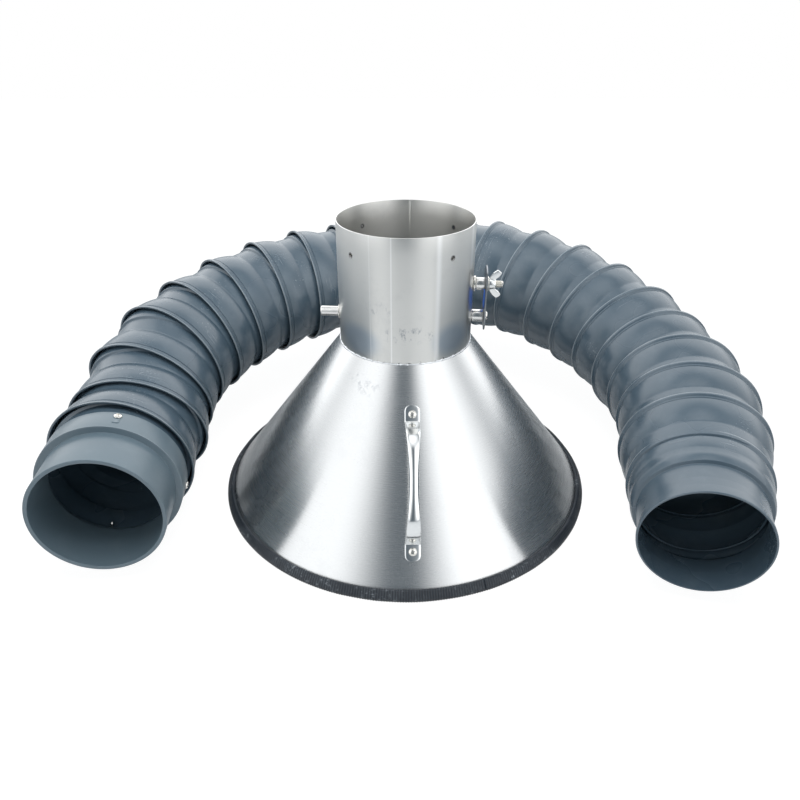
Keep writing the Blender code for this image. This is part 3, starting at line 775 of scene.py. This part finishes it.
def make_trim():
    """The rubber edging: a U section with fine ribs across it and one butt joint."""
    (er, ez), (nr, nz) = slope()
    slot = SHEET / 2 + GAP
    h = 5.0 * MM
    leg = 9.0 * MM
    upper = [(-leg, 0.84 * h, 0.8 * MM), (-leg + 1.5 * MM, h, 1.5 * MM)]
    upper += [(0.3 * h, h, 3 * MM), (0.8 * h, 0.64 * h, 3 * MM)]
    lower = [(0.8 * h, -0.64 * h, 3 * MM), (0.3 * h, -h, 3 * MM), (-leg + 1.5 * MM, -h, 1.5 * MM), (-leg, -0.84 * h)]
    outside = rounded([(-leg, -0.84 * h)] + upper + [(0.96 * h, 0.0, 3 * MM)] + lower, 3, closed=False)
    section = [(-leg, slot)] + outside[1:] + [(-leg, -slot), (GAP, -slot), (GAP, slot)]
    profile = []
    for a, b in section:
        b -= SHEET / 2
        profile.append((RIM_R + a * er + b * nr, max(RIM_Z + a * ez + b * nz, 0.0)))
    joint = math.radians(-90 + 21.8)

    def ribbed(angle, r, z, k):
        if not 1 <= k < len(section) - 4:
            return r, z
        a, b = section[k]
        wave = noise.noise(Vector((9 * math.cos(angle), 9 * math.sin(angle), 0.3)))
        depth = 0.34 * MM * math.cos(TRIM_RIBS * angle) + 0.25 * MM * wave
        if abs((angle - joint + math.pi) % (2 * math.pi) - math.pi) < 0.0022:
            depth = -1.4 * MM
        length = math.hypot(a + leg / 2, b)
        da, db = (a + leg / 2) / length * depth, b / length * depth
        return r + da * er + db * nr, max(z + da * ez + db * nz, 0.0)

    trim = turned("rim_edging", profile, TRIM_STEPS, RUBBER, Matrix.Translation(HOOD), warp=ribbed, sharp=60)
    settle(trim, "hood", "rubber", "rim_trim")


def handle_frame(down):
    """A frame on the cone under the handle: Z out of the sheet and X down the handle, which leans a little."""
    (er, ez), (nr, nz) = slope()
    out, up = round_hood(-90 + HANDLE_TURN), Vector((0, 0, 1))
    r = LAP_R + er * HANDLE_FIRST
    z = CONE_TOP + ez * HANDLE_FIRST
    start = frame_along(hood() + out * r + up * z, out * nr + up * nz, out * er + up * ez)
    middle = Matrix.Translation((HANDLE_SPAN / 2, 0, 0)) @ Matrix.Rotation(math.radians(HANDLE_LEAN), 4, "Z")
    return start @ middle @ Matrix.Translation((down - HANDLE_SPAN / 2, 0, 0))


def smooth_between(stations, t):
    """Catmull-Rom interpolation through evenly numbered stations."""
    i = min(int(t), len(stations) - 2)
    f = t - i
    a, b, c, d = (stations[max(0, min(len(stations) - 1, i + k))] for k in (-1, 0, 1, 2))
    return [0.5 * (2 * q + (r - p) * f + (2 * p - 5 * q + 4 * r - s) * f * f + (3 * q - p - 3 * r + s) * f ** 3)
            for p, q, r, s in zip(a, b, c, d)]


def handle_stations():
    """Places along the handle, each with its height, width, thickness, lean in degrees and curl, in millimetres."""
    t = 2.4
    base = 0.3 + t / 2
    mid = HANDLE_SPAN / MM / 2
    tab = [(-10.0, base, 8.6, t, 0, 0), (-9.0, base, 13.0, t, 0, 0), (-6.8, base, 16.6, t, 0, 0)]
    tab += [(-3.6, base, 17.8, t, 0, 0), (0.0, base, 17.8, t, 0, 0), (4.6, base, 17.8, t, 0, 0)]
    rise = [(7.9, base, 17.7, t, 3, 0), (9.6, base + 1.1, 17.4, t, 42, 0), (11.3, base + 4.2, 17.0, t, 62, 0.1)]
    rise += [(14.2, base + 9.6, 16.6, t, 61, 0.2), (18.5, base + 16.2, 16.0, t, 52, 0.4)]
    grip = [(26.0, base + 22.8, 15.2, 2.6, 33, 0.8), (37.0, base + 27.4, 13.8, 3.0, 15, 1.3)]
    grip += [(51.0, base + 29.1, 12.2, 3.8, 4, 1.9), (64.0, base + 29.4, 11.3, 4.4, 1, 2.3)]
    half = tab + rise + grip + [(mid, base + 29.5, 11.0, 4.6, 0, 2.4)]
    return half + [(2 * mid - x, z, w, th, -lean, curl) for x, z, w, th, lean, curl in reversed(half[:-1])]


def make_handle():
    """A pressed bow handle: flat rounded tabs, and a strap that closes into a narrow grip in the middle."""
    stations = handle_stations()
    sections = []
    count = 5 * (len(stations) - 1)
    for s in range(count + 1):
        x, z, w, th, lean, curl = smooth_between(stations, s / 5)
        a = math.radians(lean)
        ring = []
        for k in range(28):
            q = 2 * math.pi * k / 28
            c, d = math.cos(q), math.sin(q)
            y = w / 2 * math.copysign(abs(c) ** 0.35, c)
            lift = th / 2 * math.copysign(abs(d) ** 0.6, d) - curl * (2 * y / w) ** 2
            ring.append(((x - lift * math.sin(a)) * MM, y * MM, (z + lift * math.cos(a)) * MM))
        sections.append(ring)
    handle = lofted("bow_handle", sections, CHROME, handle_frame(0.0), sharp=50)
    settle(handle, "hood", "bright_plating", "handle")
    for i, name in enumerate(("top", "bottom")):
        where = handle_frame(i * HANDLE_SPAN)
        screw = pan_screw(f"bow_screw_{name}", where, 2.8 * MM, 4.6 * MM, 2.8 * MM, 2.2 * MM, 14 * MM, SCREW)
        settle(screw, "hood", "bright_plating", f"handle_screw_{name}")
        nut = hex_nut(f"bow_nut_{name}", where, -6.0 * MM, -1.8 * MM, 4.6 * MM, 2.5 * MM, SCREW)
        settle(nut, "hood", "zinc", f"handle_nut_{name}")


def make_damper():
    """The shaft across the collar, its disc with two screws, and what holds the lever."""
    axis = across(0, 0, SHAFT_Z)
    end = PLATE_X - GAP
    left = -104 * MM
    section = [(0.4 * SHAFT_R, left), (SHAFT_R, left, 1.4 * MM), (SHAFT_R, end, 0.4 * MM), (3.2 * MM, end)]
    shaft = turned("damper_rod", rounded(section, 5, closed=False), 64, BAR, axis, closed=False, sharp=40)
    settle(shaft, "damper", "sheet_steel", "damper_shaft")
    low = SHAFT_R + GAP
    high = low + SHEET
    flat = across(0, 0, SHAFT_Z, (0, 1, 0), (1, 0, 0))
    section = [(0.002, low), (DISC_R, low, 0.3 * MM), (DISC_R, high, 0.3 * MM), (0.002, high)]
    disc = turned("damper_flap", rounded(section, 3, closed=False), 192, FLAP_STEEL, flat, closed=False)
    settle(disc, "damper", "sheet_steel", "damper_disc")
    for i, x in enumerate((-32 * MM, 32 * MM)):
        spot = across(x, 0, SHAFT_Z, (0, 1, 0), (1, 0, 0))
        screw = pan_screw(f"flap_screw_{i + 1}", spot, high + GAP, 3.8 * MM, 2.2 * MM, 2 * MM, 12.5 * MM, SCREW)
        settle(screw, "damper", "zinc", f"disc_screw_{i + 1}")
    near = COLLAR_R + GAP
    washer = ring_tube("rod_washer", axis, -near - WASHER_T, -near, WASHER_R, low, SCREW)
    settle(washer, "damper", "zinc", "shaft_washer")
    boss = ring_tube("lever_boss", axis, near, end, SPACER_R, low, BAR, 0.8 * MM)
    settle(boss, "damper", "zinc", "lever_spacer")
    outer = PLATE_X + PLATE_T + GAP
    screw = pan_screw("lever_bolt", axis, outer, 5.2 * MM, 3.4 * MM, 2.9 * MM, 14 * MM, SCREW)
    settle(screw, "damper", "zinc", "lever_screw")


def make_plate():
    """The quadrant plate: a sector and a boss joined by tangents, with a slot for the stud."""
    where = across(0, 0, SHAFT_Z)
    plate_r, boss_r, margin = 60 * MM, 17 * MM, 14.0
    outline = arc(plate_r, -margin, 90 + margin, 40)
    tangent = math.degrees(math.acos(boss_r / plate_r))
    outline += arc(boss_r, 90 + margin + tangent, 360 - margin - tangent, 24)
    plate = prism("lever_quadrant", outline, PLATE_X, PLATE_X + PLATE_T, PLATE_STEEL, where)
    half = 4.45 * MM
    slot = arc(SLOT_R + half, 0, 90, 40) + arc(half, 90, 270, 12, (0.0, SLOT_R))[1:-1]
    slot += arc(SLOT_R - half, 90, 0, 40) + arc(half, 180, 360, 12, (SLOT_R, 0.0))[1:-1]
    cutters = [prism("cutter", slot, PLATE_X - 4 * MM, PLATE_X + 6 * MM, None, where)]
    cutters.append(bolt_hole(3.2 * MM, across(PLATE_X, 0, SHAFT_Z), 8 * MM, 32))
    carved(plate, cutters)
    bevelled(plate, 0.25 * MM)
    settle(plate, "damper", "sheet_steel", "lever_plate")
    make_film(where)


def make_film(where):
    """The film on the plate's inner face, a sector whose middle lifts off in soft folds."""
    inner, outer = 10.9, 33.1
    thick = 0.25 * MM
    face = PLATE_X - 0.38 * MM
    rows, last = 26, 13
    sections = []
    for i in range(rows + 1):
        a = math.radians(4 + 96 * i / rows)
        ring = []
        for k in range(last + 1):
            r = (inner + (outer - inner) * k / last) * MM
            edge = min(k, last - k) / (last / 2)
            lift = 1.5 * MM * edge * max(0.0, noise.noise(Vector((r * 60, a * 2.2, 3.1))) + 0.25)
            ring.append((r * math.cos(a), r * math.sin(a), face - lift))
        ring += [(x, y, z + thick) for x, y, z in reversed(ring)]
        sections.append(ring)
    sheet = lofted("lever_sheet_film", sections, FILM, where, sharp=60)
    settle(sheet, "damper", "blue_film", "lever_film")


def stud_profile():
    """The stud's section: a plain shank and a thread, as (radius, distance from the hood's axis)."""
    pitch = 1.25 * MM
    start, end = COLLAR_R - 10 * MM, COLLAR_R + STUD_OUT
    shank_r, crest_r = 4.0 * MM, 4.22 * MM
    root_r = crest_r - 0.65 * MM
    profile = [(0.8 * shank_r, start), (shank_r, start + 0.8 * MM), (shank_r, COLLAR_R + 26.6 * MM)]
    x = COLLAR_R + 26.8 * MM
    while x < end - 2.2 * pitch:
        profile += [(root_r, x), (crest_r, x + 0.45 * pitch), (crest_r, x + 0.6 * pitch)]
        x += pitch
    return profile + [(root_r, x), (crest_r - 0.5 * MM, end - 0.7 * MM), (crest_r - 1.2 * MM, end)]


def make_stud():
    """The stud with its flange, spacer and lock nut, and the clamp's washer and wing nut."""
    axis = across(0, 0, STUD_Z)
    stud = turned("clamp_stud", stud_profile(), 48, SCREW, axis, closed=False, sharp=30)
    settle(stud, "hood", "zinc", "stud")
    near = COLLAR_R + GAP
    far = near + 2.5 * MM
    flange = ring_tube("stud_collar", axis, near, far, 9.0 * MM, STUD_HOLE_R, SCREW)
    settle(flange, "hood", "zinc", "stud_flange")
    spacer = ring_tube("stud_sleeve", axis, far + GAP, PLATE_X - GAP, SPACER_R, STUD_HOLE_R, BAR, 0.8 * MM)
    settle(spacer, "hood", "zinc", "stud_spacer")
    corner_r = 7.5 * MM
    high = math.sqrt((COLLAR_R - SHEET) ** 2 - corner_r ** 2) - GAP
    nut = hex_nut("stud_lock_nut", axis, high - 6 * MM, high, corner_r, STUD_HOLE_R, SCREW)
    settle(nut, "hood", "zinc", "stud_nut")
    outer = PLATE_X + PLATE_T + GAP
    washer = ring_tube("wing_washer", axis, outer, outer + WASHER_T, WASHER_R, STUD_HOLE_R, SCREW)
    settle(washer, "clamp", "zinc", "clamp_washer")
    make_wing_nut(outer + WASHER_T + GAP)


def make_wing_nut(start):
    """A tapered hub with two wings. The outline of a wing is in millimetres."""
    where = across(start, 0, STUD_Z)
    tall = 8 * MM
    hub = [(STUD_HOLE_R, 0), (7.2 * MM, 0, 0.6 * MM), (5.9 * MM, tall, 0.8 * MM), (STUD_HOLE_R, tall)]
    nut = turned("thumb_nut", rounded(hub, 3), 48, CHROME, where, sharp=40)
    outline = [(4.9, 0.5), (8.6, 0.9, 4), (13.6, 4.6, 6), (17.3, 9.6, 1.8)]
    outline += [(13.4, 15.0, 1.8), (9.4, 12.0, 4), (6.8, 8.8, 3), (5.2, 7.4)]
    upright = Matrix(((0, 0, 1, 0), (1, 0, 0, 0), (0, 1, 0, 0), (0, 0, 0, 1)))
    half = 1.4 * MM
    wings = []
    for side in (1, -1):
        flat = [(side * x, y) for x, y in rounded(mm(outline), 4)]
        wing = prism("wing", flat, -half, half, None, where @ upright)
        wings.append(bevelled(wing, 0.6 * MM, 3))
    carved(nut, wings, "UNION", sharp=40)
    settle(nut, "wing_nut", "bright_plating", "wing_nut")


def make_world():
    """White to the camera. Gloss sees a dim room with two tall soft boxes, one overhead and a bright back wall."""
    world = bpy.data.worlds.new("studio")
    bpy.context.scene.world = world
    world.use_nodes = True
    tree = world.node_tree
    tree.nodes.clear()
    out = add(tree, "OutputWorld")
    way = add(tree, "SeparateXYZ", {"Vector": add(tree, "TexCoord").outputs["Generated"]})
    x, y, z = way.outputs
    side = math_node(tree, "ARCTAN2", x, product(tree, y, -1.0))
    height = math_node(tree, "ARCSINE", z)
    total = step(tree, height, 1.0, 1.4, 0.0, 1.2)
    # Each panel has the angles round the room where it starts, is full, fades and ends, and its strength
    panels = (((-2.30, -1.15, -0.80, -0.12), 1.45), ((0.04, 0.64, 1.05, 2.05), 1.60))
    for (rise, full, fade, gone), level in panels:
        wide = product(tree, step(tree, side, rise, full), step(tree, side, fade, gone, 1.0, 0.0))
        tall = band(tree, height, -0.05, 1.10, 0.2)
        total = math_node(tree, "ADD", total, product(tree, wide, tall, level))
    behind = product(tree, step(tree, y, -0.05, 0.50, 0.0, 1.7), band(tree, height, 0.02, 1.00, 0.15))
    total = math_node(tree, "ADD", total, behind)
    room = add(tree, "Background", {"Color": colour(0.72, 0.87, 1.0), "Strength": 0.19}).outputs[0]
    boxes = add(tree, "Background", {"Color": colour(1, 1, 1), "Strength": total}).outputs[0]
    seen = add(tree, "AddShader")
    tree.links.new(room, seen.inputs[0])
    tree.links.new(boxes, seen.inputs[1])
    fill = add(tree, "Background", {"Color": colour(0.84, 0.93, 1.0), "Strength": 0.42}).outputs[0]
    white = add(tree, "Background", {"Color": colour(1, 1, 1), "Strength": 1.0}).outputs[0]
    path = add(tree, "LightPath")
    gloss = add(tree, "MixShader", {0: path.outputs["Is Glossy Ray"]})
    tree.links.new(fill, gloss.inputs[1])
    tree.links.new(seen.outputs[0], gloss.inputs[2])
    camera = add(tree, "MixShader", {0: path.outputs["Is Camera Ray"]})
    tree.links.new(gloss.outputs[0], camera.inputs[1])
    tree.links.new(white, camera.inputs[2])
    tree.links.new(camera.outputs[0], out.inputs[0])


def make_lamp(name, place, target, size, power):
    lamp = bpy.data.lights.new(name, "AREA")
    lamp.shape = "RECTANGLE"
    lamp.size, lamp.size_y = size
    lamp.energy = power
    holder = bpy.data.objects.new(name, lamp)
    bpy.context.scene.collection.objects.link(holder)
    holder.location = place
    holder.rotation_euler = (Vector(target) - Vector(place)).to_track_quat("-Z", "Y").to_euler()
    holder.visible_glossy = False


def make_floor():
    """A pale floor that keeps a soft shadow, and shows as white because most of what the camera sees is a glow."""
    made, tree, shader = new_material("floor_paint", 0.0, 0.9)
    shader.inputs["Base Color"].default_value = colour(0.86, 0.86, 0.86)
    out = tree.nodes["Material Output"]
    path = add(tree, "LightPath")
    glow = add(tree, "Emission", {"Color": colour(1, 1, 1), "Strength": 1.13})
    share = product(tree, path.outputs["Is Camera Ray"], 0.84)
    mix = add(tree, "MixShader", {0: share})
    tree.links.new(shader.outputs[0], mix.inputs[1])
    tree.links.new(glow.outputs[0], mix.inputs[2])
    tree.links.new(mix.outputs[0], out.inputs["Surface"])
    half = 4
    verts = [(-half, -half, 0), (half, -half, 0), (half, half, 0), (-half, half, 0)]
    solid("floor", verts, [(0, 1, 2, 3)], made)


def make_camera():
    data = bpy.data.cameras.new("view")
    data.sensor_width = SENSOR
    data.lens = FOCAL_PIXELS / PICTURE_PIXELS * SENSOR
    camera = bpy.data.objects.new("view", data)
    bpy.context.scene.collection.objects.link(camera)
    camera.location = hood(*CAMERA_PLACE)
    camera.rotation_euler = (math.radians(90 - CAMERA_DOWN), 0, 0)
    bpy.context.scene.camera = camera


HOOD = hood_axis()
HOSE = hose_plastic("hose_pvc", (0.070, 0.106, 0.138), (0.40, 0.45, 0.48), 0.26, 0.9)
CONNECTOR = hose_plastic("connector_pvc", (0.122, 0.170, 0.202), (0.36, 0.40, 0.43), 0.32, 0.35)

BLUISH = (0.16, 0.19, 0.24)
COOL = (0.42, 0.50, 0.58)
GREY = (0.30, 0.32, 0.35)
HOLE_SHADE = (0.03, 0.03, 0.035)
COLLAR_PATCHES = [
    ((-0.055, -0.058, 0.232), (0.034, 0.06, 0.026), COOL, 0.75, False),
    ((0.052, -0.060, 0.234), (0.030, 0.06, 0.026), COOL, 0.75, False),
    ((0.003, -0.08, 0.246), (0.040, 0.05, 0.013), BLUISH, 0.62, True),
    ((-0.030, -0.075, 0.272), (0.020, 0.05, 0.016), BLUISH, 0.30, True),
]
# Painted shade: a dark disc round each pilot hole stands in for the shadow inside the hole.
COLLAR_PATCHES += [
    ((*(COLLAR_R * round_hood(a)).xy, PILOT_Z), (0.0042, 0.0042, 0.0042), HOLE_SHADE, 1.0, False) for a in PILOT_ANGLES
]
# Painted highlights: near-white streaks down the collar's front that stand in for bright reflections.
COLLAR_HIGHLIGHTS = [(-30.0, 0.9, 0.35), (-11.8, 0.9, 0.8), (26.0, 3.6, 0.75), (68.0, 5.0, 0.7)]
CONE_PATCHES = [
    ((-0.050, -0.10, 0.190), (0.034, 0.05, 0.016), GREY, 0.45, True),
    ((0.09, -0.09, 0.185), (0.010, 0.02, 0.010), BLUISH, 0.6, True),
]
COLLAR_STEEL = sheet_steel("collar_steel", (0.76, 0.755, 0.73), 0.34, 0.70, 0.8, COLLAR_PATCHES, COLLAR_HIGHLIGHTS)
CONE_STEEL = sheet_steel("cone_steel", (0.66, 0.665, 0.665), 0.27, 0.80, 0.25, CONE_PATCHES)
PLATE_STEEL = sheet_steel("plate_steel", (0.26, 0.28, 0.30), 0.30, 0.3, 0.4)
FLAP_STEEL = sheet_steel("flap_steel", (0.60, 0.61, 0.61), 0.32, 0.5, 0.6)
WELD = plated("weld_metal", (0.88, 0.90, 0.92), 0.28, 0.25)
CHROME = plated("chrome_plate", (0.82, 0.83, 0.83), 0.12, 0.06)
SCREW = plated("zinc_plate", (0.80, 0.78, 0.73), 0.18, 0.14)
BAR = plated("turned_steel", (0.80, 0.79, 0.77), 0.15, 0.08)
RUBBER = rubber("rim_rubber")
FILM = film("protective_film")

arm, ring_pitch = arm_frames()
make_rings(arm, ring_pitch)
make_connector(arm[-1])
make_collar()
make_cone()
make_trim()
make_handle()
make_damper()
make_plate()
make_stud()
make_floor()
make_world()
make_lamp("overhead", hood(0.0, -0.25, 1.7), hood(0, 0.05, 0.1), (1.3, 1.0), 21.0)
make_lamp("front", hood(-0.5, -1.6, 1.3), hood(0, 0, 0.15), (1.2, 0.9), 4.0)
make_camera()

bpy.context.scene.view_settings.view_transform = "Standard"
